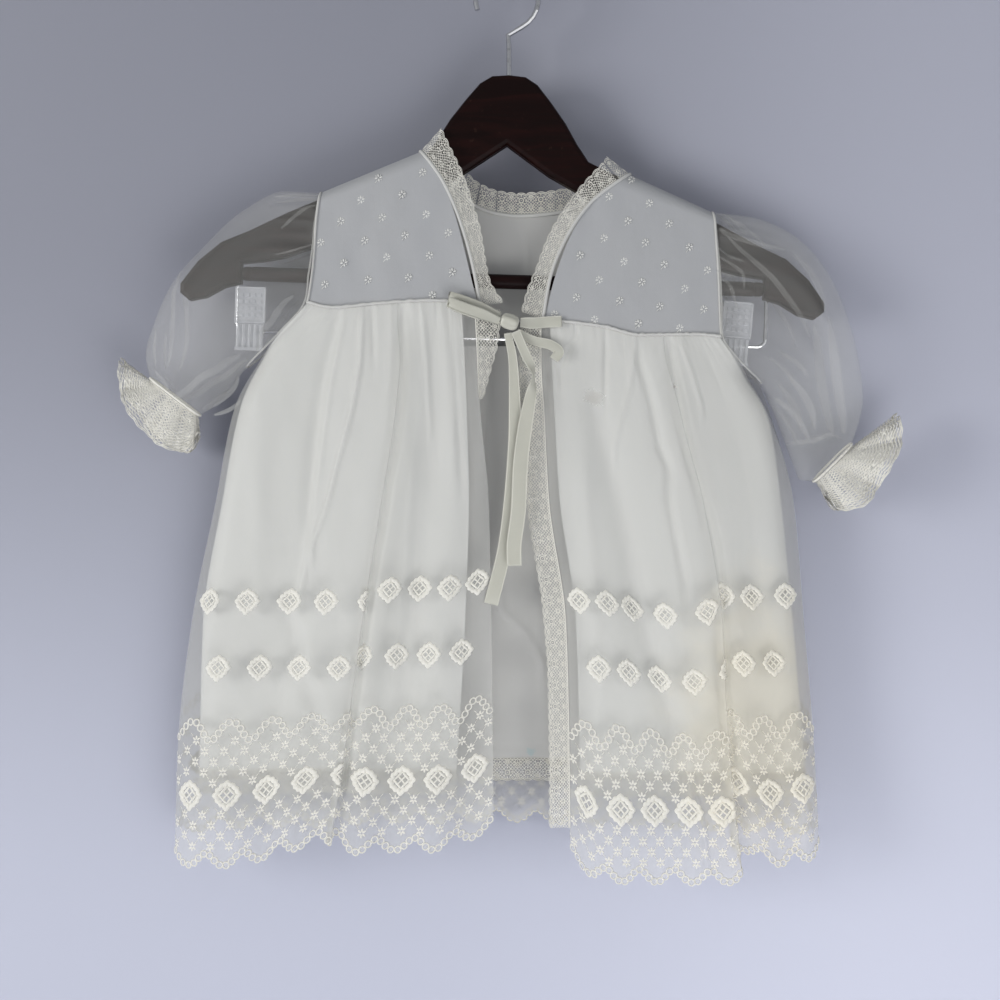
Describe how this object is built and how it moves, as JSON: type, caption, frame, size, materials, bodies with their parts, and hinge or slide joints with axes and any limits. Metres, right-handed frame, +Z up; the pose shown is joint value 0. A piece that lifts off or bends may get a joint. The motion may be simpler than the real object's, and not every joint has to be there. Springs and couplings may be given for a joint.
{
  "type": "christening coat on a hanger",
  "caption": "Sheer embroidered christening coat with puffed sleeves, lace edging and a ribbon bow, open at the front, on a wooden hanger.",
  "frame": {"origin": "inside top of the hanger's hook, where a rail carries it", "axes": "+Z up, +X to the viewer's right, front of the coat faces -Y"},
  "size_m": [0.5141, 0.0516, 0.6025],
  "materials": {
    "organza": "sheer ivory organza",
    "lining": "plain ivory lining",
    "lace": "ivory lace",
    "satin": "satin",
    "dark_wood": "satin varnish",
    "chrome": "polished",
    "clear_plastic": "clear, gloss"
  },
  "bodies": {
    "root": {"skirt_front_left": "organza", "skirt_front_right": "organza", "skirt_back": "organza", "yoke_front_left": "organza", "yoke_front_right": "organza", "yoke_back": "organza", "sleeve_left": "organza", "sleeve_right": "organza", "lining_front_left": "lining", "lining_front_right": "lining", "lining_back": "lining", "seam_band_left": "lining", "seam_band_right": "lining", "lining_lace_front_left": "lace", "lining_lace_front_right": "lace", "lining_lace_back": "lace", "cuff_frill_left": "lace", "cuff_frill_right": "lace", "lace_neck_left": "lace", "lace_neck_right": "lace", "lace_neck_back": "lace", "lace_front_left": "lace", "lace_front_right": "lace", "ribbon_loop_upper": "satin", "ribbon_loop_lower": "satin", "ribbon_band": "satin", "ribbon_loop_right": "satin", "ribbon_tail_front": "satin", "ribbon_tail_back": "satin", "ribbon_knot": "satin", "hanger_wood": "dark_wood", "hanger_bar": "dark_wood", "hanger_rod": "chrome", "hanger_hook": "chrome", "clip_left": "clear_plastic", "clip_right": "clear_plastic"}
  },
  "joints": []
}
